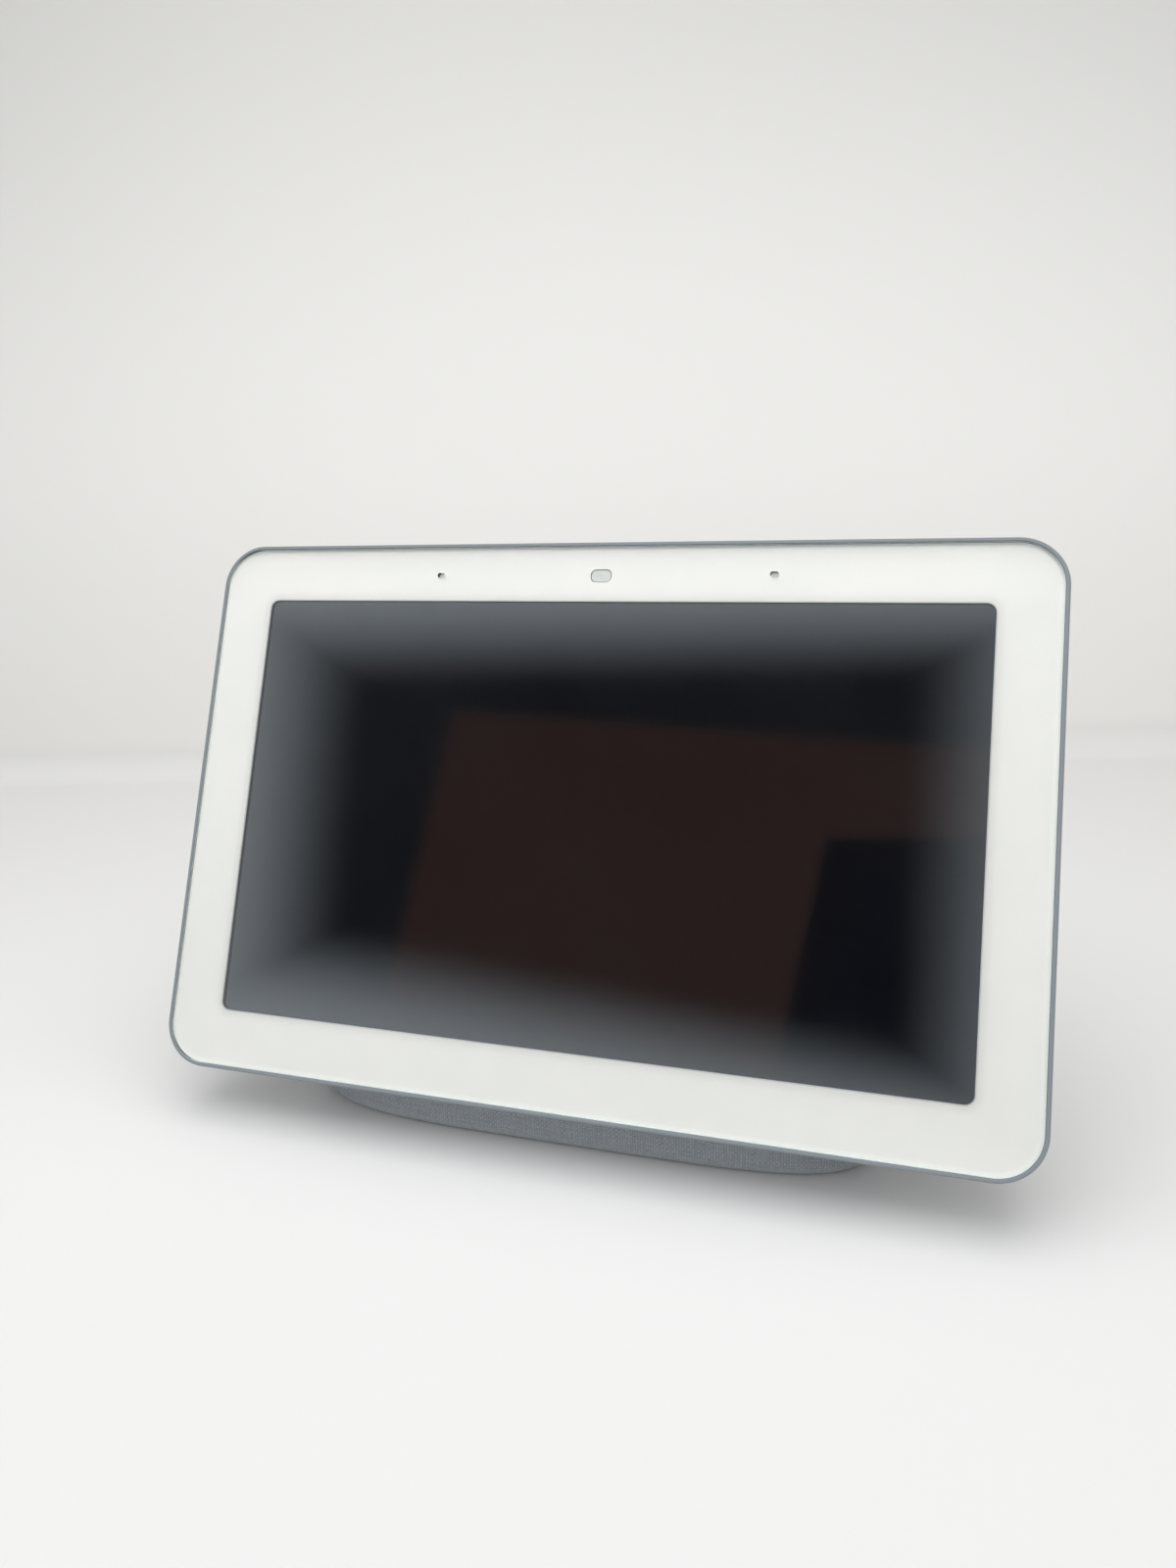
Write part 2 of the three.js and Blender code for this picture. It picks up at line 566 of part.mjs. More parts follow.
// ---------- speaker: axis along Y, facing the rear ----------
// Distances along the axis are counted forward from the flange's rear face, so they are negative.
function speakerBasket() {
  const bowl = turned([
    [18.8, 0], [18.8, -1.5], [14.6, -12.2], [14.6, -13.5],
    [15.8, -13.5], [15.8, -12.0], [20.0, -1.8], [SPEAKER.flange, -1.8], [SPEAKER.flange, 0], [18.8, 0],
  ], 28);
  const windows = [0, 1, 2, 3].map((quarter) =>
    box(18, 0, -7, [10, 10, 6]).rotateZ((quarter * Math.PI) / 2 + Math.PI / 4));
  return cut(bowl, ...windows);
}

function speakerMagnet() {
  const gapOuter = 10.4;
  const gapInner = 8.6;
  const outer = 14.2;
  return turned([
    [0, -24], [outer, -24], [outer, -13], [gapOuter, -13], [gapOuter, -20], [gapInner, -20],
    [gapInner, -12.5], [0, -12.5],
  ], 24);
}

addPiece("speaker_basket", "magnet_metal", onSpeaker(speakerBasket()));
addPiece("speaker_magnet", "magnet_metal", onSpeaker(speakerMagnet()));
addPiece("speaker_gasket", "gasket_rubber", onSpeaker(
  ring(SPEAKER.collarInside, SPEAKER.flange, [0.9, 0.3], 28)));
addPiece("speaker_cone", "cone_paper", onSpeaker(turned([
  [15.4, -2.7], [15.4, -2.2], [9.9, -8.2], [9.9, -8.7], [15.4, -2.7],
], 28)));
addPiece("speaker_dust_cap", "cone_paper", onSpeaker(turned([
  [0, -6.4], [5.0, -6.9], [9.3, -8.4], [9.3, -8.8], [5.0, -7.3], [0, -6.8],
].reverse(), 20)));
addPiece("voice_coil", "flex_amber", onSpeaker(ring(9.2, 9.8, [-9.1, -16.5], 20)));
addPiece("speaker_surround", "gasket_rubber", onSpeaker(turned([
  [15.7, -2.4], [16.1, -1.4], [17.1, -1.0], [18.1, -1.4], [18.5, -2.2],
  [18.1, -1.9], [17.1, -1.4], [16.1, -1.8], [15.7, -2.4],
].reverse(), 28)));
addPiece("speaker_spider", "flex_amber", onSpeaker(ring(10.1, 14.2, [-11.0, -11.4], 20)));

// ---------- leads, power inlet ----------
const windowInside = (u, w) => headPoint(u, CABLE_WINDOW.v, w);

addPiece("speaker_cable", "lead_jacket", lead([
  new THREE.Vector3(12, 5, 19.5), new THREE.Vector3(11, -1.5, 22),
  windowInside(5, -17), windowInside(5, -7.8),
], 0.8, 14));
addPiece("power_lead", "lead_jacket", lead([
  new THREE.Vector3(-33.5, 16.5, 19.8), new THREE.Vector3(-26, 8, 25), new THREE.Vector3(-14, -2, 30),
  windowInside(-5, -17), windowInside(-5, -7.8),
], 1.1, 18));

function dcJack() {
  const { x, z, recessFloor, mouth } = JACK;
  const collar = disc(JACK.collar, [mouth - recessFloor, -1], 20);
  const body = box(0, 0, -5, [12, 12, 10]);
  const recess = disc(JACK.recess, [20, 0], 20);
  const socket = disc(JACK.socket, [1, -8.5], 16);
  return facingRear(cut(join(body, collar), recess, socket), x, recessFloor, z);
}

addPiece("dc_jack", "inner_plastic", dcJack());
addPiece("dc_jack_pin", "pin_brass", facingRear(
  disc(JACK.pin, [-0.6, -8.1], 12), JACK.x, JACK.recessFloor, JACK.z));
addPiece("jack_board", "board_green", box(JACK.x, 22, 6.6, [12.4, 10, 1.2]));

export default group;
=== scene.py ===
"""A tabletop smart display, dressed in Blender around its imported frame. Metres, Z up, screen facing -Y.

Pieces of the head are drawn in millimetres as (u, v, w): across the glass, up it and out of it, with
w = 0 on its face. Pieces of the base are drawn in millimetres of the part's own axes.
"""
import json
import math

import bmesh
import bpy
from mathutils import Matrix, Vector


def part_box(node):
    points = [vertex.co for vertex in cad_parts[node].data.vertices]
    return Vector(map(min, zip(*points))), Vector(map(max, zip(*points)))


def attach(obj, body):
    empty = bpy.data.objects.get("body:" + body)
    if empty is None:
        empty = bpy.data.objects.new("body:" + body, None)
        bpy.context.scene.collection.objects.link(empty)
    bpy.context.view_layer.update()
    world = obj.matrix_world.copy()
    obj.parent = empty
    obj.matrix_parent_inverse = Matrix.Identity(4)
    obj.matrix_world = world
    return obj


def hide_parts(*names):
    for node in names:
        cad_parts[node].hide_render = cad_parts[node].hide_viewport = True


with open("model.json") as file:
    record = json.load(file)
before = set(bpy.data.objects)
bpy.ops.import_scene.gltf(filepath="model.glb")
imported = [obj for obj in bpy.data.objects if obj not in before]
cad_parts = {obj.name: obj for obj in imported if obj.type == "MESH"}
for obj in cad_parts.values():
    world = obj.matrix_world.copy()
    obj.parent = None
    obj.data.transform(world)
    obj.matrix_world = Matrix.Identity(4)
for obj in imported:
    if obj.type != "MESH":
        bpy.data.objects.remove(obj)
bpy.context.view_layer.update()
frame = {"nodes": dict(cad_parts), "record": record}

MM = 0.001
UP = Vector((0, 0, 1))
TINY = 0.001  # stands in for nought where a length may not vanish

# ---------- sizes of the head, in millimetres ----------
# Rounded rectangles are (width, height, corner radius).
HEAD_TILT = math.radians(25)
GLASS = (176.5, 114.1, 8.35)
GLASS_THICK = 1.1
GLASS_EDGE = 0.22
WINDOW = (153.4, 90.9, 1.8)
INK_LEVELS = (-1.5, -1.15)
INK_MARGIN = 0.03
SCREEN = {"size": (157.6, 94.0, 1.0), "front": -1.8, "back": -2.9, "edge": 0.15}

TOP_FEATURES_V = 50.9
SENSOR_OPENING = (4.5, 2.8, 1.2)
SENSOR_FILM = {"size": (4.2, 2.5, 1.05), "front": -1.3, "back": -1.9, "edge": 0.1}
MIC_HOLE = (1.7, 1.15)
MIC_U = 35.5
MIC_SPOTS = {"left": (-MIC_U, TOP_FEATURES_V), "right": (MIC_U, TOP_FEATURES_V)}
MIC_MESH = {"margin": 0.03, "front": -1.2, "back": -1.45, "edge": 0.05}
THROUGH_GLASS = (-3, 1)  # from below the ink to above the face

HOUSING = (178.5, 116.1, 9.35)
HEAD_BACK = -9.0
BACK_ROUND = {"inset": 3.4, "start": -5.2}
SIDE_LEVELS = (-4.6, -3.2)
# The lip round the glass as (inset, w), from the side wall over its crown to its inner edge.
LIP = (
    (0.02, -1.5), (0.08, -0.6), (0.22, -0.18), (0.42, -0.02),
    (0.84, 0.0), (0.91, -0.03), (0.94, -0.12),
)
# The step inside the lip, and the floor of the tray behind it.
LEDGE = {"w": -2.2, "inset": 3.0, "floor": -7.5}

CONTROL_ROOT = -6.8  # where the mute knob and the volume key start, inside the back wall
SLOT = {"easing": 0.22, "last_flare": 0.05, "flare": 0.1, "outside": 0.4, "throat": 0.5, "floor": -6.9}
MUTE = {
    "v": 51.2, "rest_u": -1.25, "travel": 2.5, "width": 6.0, "height": 2.6, "back": -9.6,
    "gap": 0.3, "edge": 0.35,
}
RIDGE = {"pitch": 1.1, "width": 0.5, "height": 1.7, "rise": 0.2, "sunk": 0.05, "edge": 0.15}
ROCKER = {
    "u": 81.5, "v": 18.0, "width": 4.4, "length": 28.0, "back": -9.8,
    "side_gap": 0.35, "end_gap": 0.4, "edge": 0.7, "edge_drop": 0.5,
}
ROCKER_CROWN = ((1.2, 0.03), (1.8, 0.04))

# ---------- sizes of the base, in millimetres ----------
# Corner and dome are the powers of the rounded plan and side view. Taper and lean are how far the
# sides and the rear come in for each millimetre of height.
SLEEVE_LOW, SLEEVE_HIGH = (Vector(corner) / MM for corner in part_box("fabric_sleeve"))
BASE = {
    "half_width": SLEEVE_HIGH.x, "front": SLEEVE_LOW.y, "rear": SLEEVE_HIGH.y, "corner": 4.6,
    "rise_from": 10.0, "top": 92.0, "dome": 2.6, "top_rear": 10.0, "taper": 0.06, "lean": 0.05,
    "rounding": 3.3, "rounding_curve": 0.2,
}
SLEEVE_PLANE = -9.3  # w on the head where the cloth ends beneath it
SLEEVE_THICK = 0.7
SLEEVE_BOTTOM = 0.5
HEM = ((1.3, 1.0), (0.75, 0.7), (0.45, 0.3))  # (z, inset), turned up inside the sleeve
FOOT_INSET = 3.2
FOOT_EDGE = ((0.35, 0.0), (0.1, 0.12), (0.0, 0.35), (0.0, 0.9), (0.08, 1.1), (0.25, 1.2))  # (inset, z)
JACK = {"x": -38.0, "z": 14.0, "mouth": 33.1, "floor": 27.6}  # its floor and mouth lie along Y
JACK_DEPTHS = {"barrel": 10, "socket": 8.5, "pin_root": 8.1, "pin_tip": 0.55}  # below its floor
FABRIC_OPENING, JACK_COLLAR, JACK_RECESS, JACK_SOCKET, JACK_PIN = 6.7, 6.2, 5.2, 3.1, 0.9  # radii


def head_frame():
    """The matrix that takes (u, v, w) on the head to the part's own frame."""
    up = Vector((0, math.sin(HEAD_TILT), math.cos(HEAD_TILT)))
    out = Vector((0, -math.cos(HEAD_TILT), math.sin(HEAD_TILT)))
    low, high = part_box("front_glass")
    face = (Vector(low) + Vector(high)) / 2 + out * GLASS_THICK / 2 * MM
    axes = Matrix((Vector((1, 0, 0)), up, out)).transposed().to_4x4()
    return Matrix.Translation(face) @ axes @ Matrix.Scale(MM, 4)


HEAD = head_frame()
ROW_MM = Matrix.Scale(MM, 4)


# ---------- mesh tools ----------
def add_object(name, mesh, matrix, body, material, replaces=()):
    piece = bpy.data.objects.new(name, mesh)
    bpy.context.scene.collection.objects.link(piece)
    piece.matrix_world = matrix
    bpy.context.view_layer.update()
    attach(piece, body)
    if replaces:
        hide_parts(*replaces)
    dress(piece, material)
    return piece


def dress(piece, material):
    piece.data.materials.clear()
    piece.data.materials.append(material)


def smooth(mesh, sharp_degrees=32):
    """Smooth shading, except on the many-sided faces that close a form, which stay truly flat."""
    mesh.shade_smooth()
    mesh.set_sharp_from_angle(angle=math.radians(sharp_degrees))
    for face in mesh.polygons:
        face.use_smooth = len(face.vertices) <= 4


def ring_mesh(name, rings, capped=True, joined=False):
    """Quads between rings of equally many points, with a flat cap at each end, or the ends joined."""
    count = len(rings[0])
    points = [p for ring in rings for p in ring]
    spans = len(rings) if joined else len(rings) - 1
    faces = []
    for level in range(spans):
        low = level * count
        high = (level + 1) % len(rings) * count
        for i in range(count):
            j = (i + 1) % count
            faces.append((low + i, low + j, high + j, high + i))
    if capped and not joined:
        faces.append(tuple(reversed(range(count))))
        faces.append(tuple(range(len(points) - count, len(points))))
    mesh = bpy.data.meshes.new(name)
    mesh.from_pydata(points, [], faces)
    bm = bmesh.new()
    bm.from_mesh(mesh)
    bmesh.ops.recalc_face_normals(bm, faces=bm.faces)
    bm.to_mesh(mesh)
    bm.free()
    smooth(mesh)
    return mesh


def rounded_rect(size, inset=0.0, w=0.0, centre=(0, 0), steps=12):
    """The points of a rounded rectangle at level w, drawn in by inset."""
    smallest_radius = 0.02
    width, height, radius = size
    radius = max(radius - inset, smallest_radius)
    half_width = width / 2 - inset - radius
    half_height = height / 2 - inset - radius
    points = []
    for quarter, (sx, sy) in enumerate(((1, 1), (-1, 1), (-1, -1), (1, -1))):
        for k in range(steps + 1):
            angle = (quarter + k / steps) * math.pi / 2
            points.append(Vector((
                centre[0] + sx * half_width + radius * math.cos(angle),
                centre[1] + sy * half_height + radius * math.sin(angle),
                w,
            )))
    return points


def stack(size, levels, centre=(0, 0), steps=12):
    """Rings of one rounded rectangle at each (inset, w) of levels."""
    return [rounded_rect(size, inset, w, centre, steps) for inset, w in levels]


def quarter_round(inset, drop, start_w, steps=6):
    """(inset, w) pairs that turn from a side wall at start_w to a face at start_w + drop."""
    turn = [k / steps * math.pi / 2 for k in range(steps + 1)]
    return [(inset * (1 - math.cos(a)), start_w + drop * math.sin(a)) for a in turn]


def plate_rings(size, front, back, edge, centre=(0, 0), steps=12):
    """Rings of a flat plate with rounded front and back edges."""
    lower = reversed(quarter_round(edge, -edge, back + edge, steps=4))
    upper = quarter_round(edge, edge, front - edge, steps=4)
    return stack(size, [*lower, *upper], centre, steps)


def slot_size(width, height):
    """A rounded rectangle whose ends are half circles."""
    return width, height, min(width, height) / 2 - TINY


def cutter(rings):
    """A passing object that only cuts others."""
    tool = bpy.data.objects.new("cutter", ring_mesh("cutter", rings))
    bpy.context.scene.collection.objects.link(tool)
    return tool


def hole_through_glass(size, centre=(0, 0), steps=8):
    return cutter(stack(size, [(0, w) for w in THROUGH_GLASS], centre, steps))


def rear_drill(x, z, radius, near, far, steps=40):
    """A round cutter along Y."""
    angles = [k / steps * 2 * math.pi for k in range(steps)]
    return cutter([
        [Vector((x + radius * math.cos(a), y, z + radius * math.sin(a))) for a in angles]
        for y in (near, far)
    ])


def with_modifiers(mesh, add_modifiers):
    """The mesh after the modifiers that add_modifiers puts on a passing object made from it."""
    blank = bpy.data.objects.new("blank", mesh)
    bpy.context.scene.collection.objects.link(blank)
    add_modifiers(blank)
    graph = bpy.context.evaluated_depsgraph_get()
    result = bpy.data.meshes.new_from_object(blank.evaluated_get(graph))
    result.name = mesh.name
    bpy.data.objects.remove(blank)
    return result


def cut(mesh, tools):
    """The mesh with the tools taken away. All are in the same local frame."""
    def subtract(blank):
        for tool in tools:
            step = blank.modifiers.new("cut", "BOOLEAN")
            step.operation = "DIFFERENCE"
            step.solver = "EXACT"
            step.object = tool

    result = with_modifiers(mesh, subtract)
    for tool in tools:
        bpy.data.objects.remove(tool)
    smooth(result)
    return result


def thickened(mesh, thickness):
    """The sheet as a closed skin that grows inwards."""
    def grow(blank):
        step = blank.modifiers.new("thicken", "SOLIDIFY")
        step.thickness = thickness
        step.offset = -1

    return with_modifiers(mesh, grow)


def trim_to_plane(mesh, point, normal):
    """Takes away what lies on the side that normal points to."""
    bm = bmesh.new()
    bm.from_mesh(mesh)
    everything = [*bm.verts, *bm.edges, *bm.faces]
    bmesh.ops.bisect_plane(bm, geom=everything, plane_co=point, plane_no=normal, clear_outer=True)
    bm.to_mesh(mesh)
    bm.free()


def turned_mesh(name, profile, steps=64):
    """A closed profile of (radius, along) turned about +Y."""
    angles = [k / steps * 2 * math.pi for k in range(steps)]
    rings = [
        [Vector((radius * math.cos(a), along, radius * math.sin(a))) for a in angles]
        for radius, along in profile
    ]
    return ring_mesh(name, rings, capped=False, joined=True)


# ---------- material tools ----------
class Paint:
    """Short calls for building up a node tree."""

    def __init__(self, tree):
        self.nodes = tree.nodes
        self.links = tree.links
        self.place = self.nodes.new("ShaderNodeTexCoord")

    def link(self, source, target):
        self.links.new(source, target)

    def feed(self, socket, value):
        if isinstance(value, bpy.types.NodeSocket):
            self.link(value, socket)
        else:
            socket.default_value = value

    def math(self, operation, a, b=0.0):
        node = self.nodes.new("ShaderNodeMath")
        node.operation = operation
        self.feed(node.inputs[0], a)
        self.feed(node.inputs[1], b)
        return node.outputs[0]

    def dot(self, vector, fixed):
        node = self.nodes.new("ShaderNodeVectorMath")
        node.operation = "DOT_PRODUCT"
        self.link(vector, node.inputs[0])
        node.inputs[1].default_value = fixed
        return node.outputs["Value"]

    def axes(self, vector):
        node = self.nodes.new("ShaderNodeSeparateXYZ")
        self.link(vector, node.inputs[0])
        return node.outputs

    def stretched(self, factors, vector=None):
        node = self.nodes.new("ShaderNodeMapping")
        self.link(vector or self.place.outputs["Object"], node.inputs["Vector"])
        node.inputs["Scale"].default_value = factors
        return node.outputs[0]

    def noise(self, size, detail=3.0, vector=None):
        """Soft noise whose blots are about size of the coordinate's own units."""
        node = self.nodes.new("ShaderNodeTexNoise")
        self.link(vector or self.place.outputs["Object"], node.inputs["Vector"])
        node.inputs["Scale"].default_value = 1 / size
        node.inputs["Detail"].default_value = detail
        return node.outputs["Fac"]

    def between(self, value, low, high, start=0.0, end=1.0):
        """Goes softly from start to end while value goes from low to high."""
        node = self.nodes.new("ShaderNodeMapRange")
        node.interpolation_type = "SMOOTHSTEP"
        self.feed(node.inputs["Value"], value)
        for socket, number in zip(("From Min", "From Max", "To Min", "To Max"), (low, high, start, end)):
            node.inputs[socket].default_value = number
        return node.outputs["Result"]

    def spread(self, noise, start=0.0, end=1.0):
        """Noise, which seldom leaves 0.3 to 0.7, spread over start to end."""
        return self.between(noise, 0.3, 0.7, start, end)

    def mix(self, share, first, second):
        node = self.nodes.new("ShaderNodeMix")
        node.data_type = "RGBA"
        self.feed(node.inputs["Factor"], share)
        for socket, colour in ((node.inputs["A"], first), (node.inputs["B"], second)):
            self.feed(socket, colour if isinstance(colour, bpy.types.NodeSocket) else (*colour, 1))
        return node.outputs["Result"]


class Look(Paint):
    """A procedural material under construction."""

    def __init__(self, name, roughness=0.5, metallic=0.0):
        self.material = bpy.data.materials.new(name)
        self.material.use_nodes = True
        super().__init__(self.material.node_tree)
        self.shader = self.nodes["Principled BSDF"]
        self.shader.inputs["Roughness"].default_value = roughness
        self.shader.inputs["Metallic"].default_value = metallic

    def colour(self, value):
        self.feed(self.shader.inputs["Base Color"], value)

    def roughness(self, value):
        self.feed(self.shader.inputs["Roughness"], value)

    def bump(self, height, depth):
        """Raises the surface by up to depth metres where height is 1."""
        node = self.nodes.new("ShaderNodeBump")
        node.inputs["Distance"].default_value = depth
        self.link(height, node.inputs["Height"])
        self.link(node.outputs[0], self.shader.inputs["Normal"])

    def clear_where(self, share):
        """Lets light pass straight through where share is 1."""
        passing = self.nodes.new("ShaderNodeBsdfTransparent")
        chosen = self.nodes.new("ShaderNodeMixShader")
        self.link(share, chosen.inputs[0])
        self.link(self.shader.outputs[0], chosen.inputs[1])
        self.link(passing.outputs[0], chosen.inputs[2])
        self.link(chosen.outputs[0], self.nodes["Material Output"].inputs["Surface"])


def shade(colour, factor):
    return tuple(min(channel * factor, 1.0) for channel in colour)


def grained(name, colour, roughness, *, grain, depth, contrast=0.12, metallic=0.0, stretch=(1, 1, 1)):
    """A moulded, cast or rolled surface: fine grain, faint tone changes and uneven gloss."""
    broad_to_fine = 40
    gloss_change = 0.05
    look = Look(name, roughness, metallic)
    fine = look.noise(grain, 4.0, look.stretched(stretch))
    broad = look.noise(grain * broad_to_fine, 2.0)
    tone = look.math("ADD", look.math("MULTIPLY", fine, 0.5), look.math("MULTIPLY", broad, 0.5))
    dark, light = shade(colour, 1 - contrast), shade(colour, 1 + contrast)
    look.colour(look.mix(look.between(tone, 0.35, 0.65), dark, light))
    look.roughness(look.spread(broad, roughness - gloss_change, roughness + gloss_change))
    look.bump(fine, depth)
    return look.material


def edge_distance(look, size):
    """How far a point on the head lies outside a rounded rectangle, in millimetres."""
    width, height, radius = size
    x, y, _ = look.axes(look.place.outputs["Object"])
    squares = []
    for along, half in ((x, width / 2), (y, height / 2)):
        past_straight = look.math("SUBTRACT", look.math("ABSOLUTE", along), half - radius)
        outward = look.math("MAXIMUM", past_straight, 0.0)
        squares.append(look.math("MULTIPLY", outward, outward))
    return look.math("SUBTRACT", look.math("SQRT", look.math("ADD", *squares)), radius)


# ---------- materials of what shows, in millimetres ----------
HOUSING_GREY = (0.17, 0.19, 0.205)
FABRIC_GREY = (0.27, 0.295, 0.32)
BORDER_WHITE = (0.755, 0.748, 0.707)
WINDOW_LINE = (0.45, 0.46, 0.45)
THREADS_ROUND, THREADS_UP = 640, 190
FLECK_THREADS = 9
MESH_WAVE = 40.0  # radians of the weave in a millimetre


def clear_glass():
    """Cover glass with a faint green tint in its cut edge. Lamps shine through it."""
    look = Look("clear_glass", roughness=0.012)
    look.shader.inputs["IOR"].default_value = 1.5
    look.shader.inputs["Transmission Weight"].default_value = 1.0
    at_edge = look.between(edge_distance(look, GLASS), -0.7, 0.0)
    tint = look.mix(look.spread(look.noise(30.0)), (0.985, 0.99, 0.99), (1.0, 1.0, 1.0))
    look.colour(look.mix(at_edge, tint, (0.93, 0.985, 0.985)))
    rays = look.nodes.new("ShaderNodeLightPath")
    look.clear_where(rays.outputs["Is Shadow Ray"])
    return look.material


def border_ink():
    """White ink on the back of the glass, greyed near the window by painted shade and lightened along the
    glass's cut edge by a painted highlight.
    """
    look = Look("white_ink", roughness=0.38)
    from_window = edge_distance(look, WINDOW)
    # painted highlight: the ink lighter near the glass's outer edge
    painted_rim_light = look.between(edge_distance(look, GLASS), -1.2, 0.0)
    paper = look.mix(look.spread(look.noise(6.0, 4.0)), BORDER_WHITE, shade(BORDER_WHITE, 0.985))
    paper = look.mix(painted_rim_light, paper, shade(BORDER_WHITE, 1.12))
    # painted shade: the ink greyer within 2.2 mm of the window
    paper = look.mix(look.between(from_window, 0.0, 2.2), shade(BORDER_WHITE, 0.86), paper)
    look.colour(look.mix(look.between(from_window, 0.1, 0.35), WINDOW_LINE, paper))
    look.bump(look.noise(0.35, 2.0), 0.002 * MM)
    return look.material


def dark_screen():
    """A switched-off panel: nearly black, with a soft mirror and a trace of its pixel columns."""
    look = Look("lcd_black")
    look.shader.inputs["IOR"].default_value = 1.85
    look.shader.inputs["Specular Tint"].default_value = (0.8, 0.9, 1.0, 1)
    columns = look.noise(0.45, 1.0, look.stretched((1, 0.02, 1)))
    cloud = look.noise(40.0, 2.0)
    base = look.mix(look.between(columns, 0.35, 0.65), (0.0012, 0.0011, 0.0012), (0.002, 0.0018, 0.002))
    look.colour(look.mix(look.spread(cloud), base, (0.0022, 0.0021, 0.0024)))
    look.roughness(look.spread(cloud, 0.05, 0.075))
    return look.material


def knit():
    """Fine plain weave of heathered blue grey yarn with painted shade between the threads, laid out by
    the sleeve's own coordinates.
    """
    look = Look("knit_grey", roughness=0.9)
    look.shader.inputs["Sheen Weight"].default_value = 0.35
    look.shader.inputs["Sheen Roughness"].default_value = 0.55
    look.shader.inputs["Specular IOR Level"].default_value = 0.25
    weave = look.place.outputs["UV"]
    u, v, _ = look.axes(weave)
    wave_u = look.math("SINE", look.math("MULTIPLY", u, THREADS_ROUND * math.pi))
    wave_v = look.math("SINE", look.math("MULTIPLY", v, THREADS_UP * math.pi))
    crossing = look.math("MULTIPLY", wave_u, wave_v)
    weft = look.noise(1.0, 2.0, look.stretched((THREADS_ROUND / FLECK_THREADS, THREADS_UP, 1), weave))
    warp = look.noise(1.0, 2.0, look.stretched((THREADS_ROUND, THREADS_UP / FLECK_THREADS, 1), weave))
    weft_yarn = look.mix(look.spread(weft), shade(FABRIC_GREY, 0.88), shade(FABRIC_GREY, 1.25))
    warp_yarn = look.mix(look.spread(warp), shade(FABRIC_GREY, 0.78), shade(FABRIC_GREY, 1.1))
    woven = look.mix(look.between(crossing, -0.2, 0.2), warp_yarn, weft_yarn)
    relief = look.math("ABSOLUTE", crossing)
    # painted shade: darker in the hollows between the threads
    look.colour(look.mix(look.between(relief, 0.0, 0.35), shade(FABRIC_GREY, 0.66), woven))
    fuzz = look.math("MULTIPLY", look.noise(0.25), 0.35)
    look.bump(look.math("ADD", look.math("MULTIPLY", relief, 0.8), fuzz), 0.14 * MM)
    return look.material


def body_plastic():
    """Fine spark-eroded texture on moulded plastic, with a painted highlight that lightens its edges."""
    look = Look("housing_grey")
    fine = look.noise(0.22)
    tone = look.mix(look.spread(fine), shade(HOUSING_GREY, 0.93), shade(HOUSING_GREY, 1.07))
    geometry = look.nodes.new("ShaderNodeNewGeometry")
    # painted highlight: lighter where the surface is pointed, at its edges
    painted_edge_highlight = look.between(geometry.outputs["Pointiness"], 0.5, 0.56)
    look.colour(look.mix(painted_edge_highlight, tone, shade(HOUSING_GREY, 1.22)))
    look.roughness(look.spread(look.noise(14.0), 0.44, 0.54))
    look.bump(fine, 0.012 * MM)
    return look.material


def sensor_window_film():
    """Pale translucent film that hides the light sensor."""
    look = Look("light_guide", roughness=0.3)
    cloud = look.spread(look.noise(1.2, 2.0))
    look.colour(look.mix(cloud, (0.53, 0.535, 0.51), (0.57, 0.575, 0.55)))
    return look.material


def microphone_mesh():
    """Pale woven cloth that keeps dust out of a microphone hole, with painted shade between its threads.
    """
    look = Look("mic_mesh", roughness=0.8)
    x, y, _ = look.axes(look.place.outputs["Object"])
    thread_x = look.math("SINE", look.math("MULTIPLY", x, MESH_WAVE))
    thread_y = look.math("SINE", look.math("MULTIPLY", y, MESH_WAVE))
    crossing = look.math("ABSOLUTE", look.math("MULTIPLY", thread_x, thread_y))
    # painted shade: darker in the hollows between the threads
    look.colour(look.mix(look.between(crossing, 0.0, 0.6), (0.3, 0.3, 0.29), (0.6, 0.6, 0.58)))
    look.bump(crossing, 0.01 * MM)
    return look.material


LOOKS = {
    "mic_mesh": microphone_mesh(),
    "clear_glass": clear_glass(),
    "white_ink": border_ink(),
    "lcd_black": dark_screen(),
    "knit_grey": knit(),
    "housing_grey": body_plastic(),
    "light_guide": sensor_window_film(),
    "foot_rubber": grained("foot_rubber", (0.11, 0.12, 0.13), 0.75, grain=0.5, depth=0.02 * MM),
    "inner_plastic": grained("inner_plastic", (0.03, 0.032, 0.035), 0.45, grain=0.4, depth=0.01 * MM),
    "pin_brass": grained(
        "pin_brass", (0.75, 0.56, 0.26), 0.25, grain=0.3, depth=0.003 * MM, metallic=1.0),
}

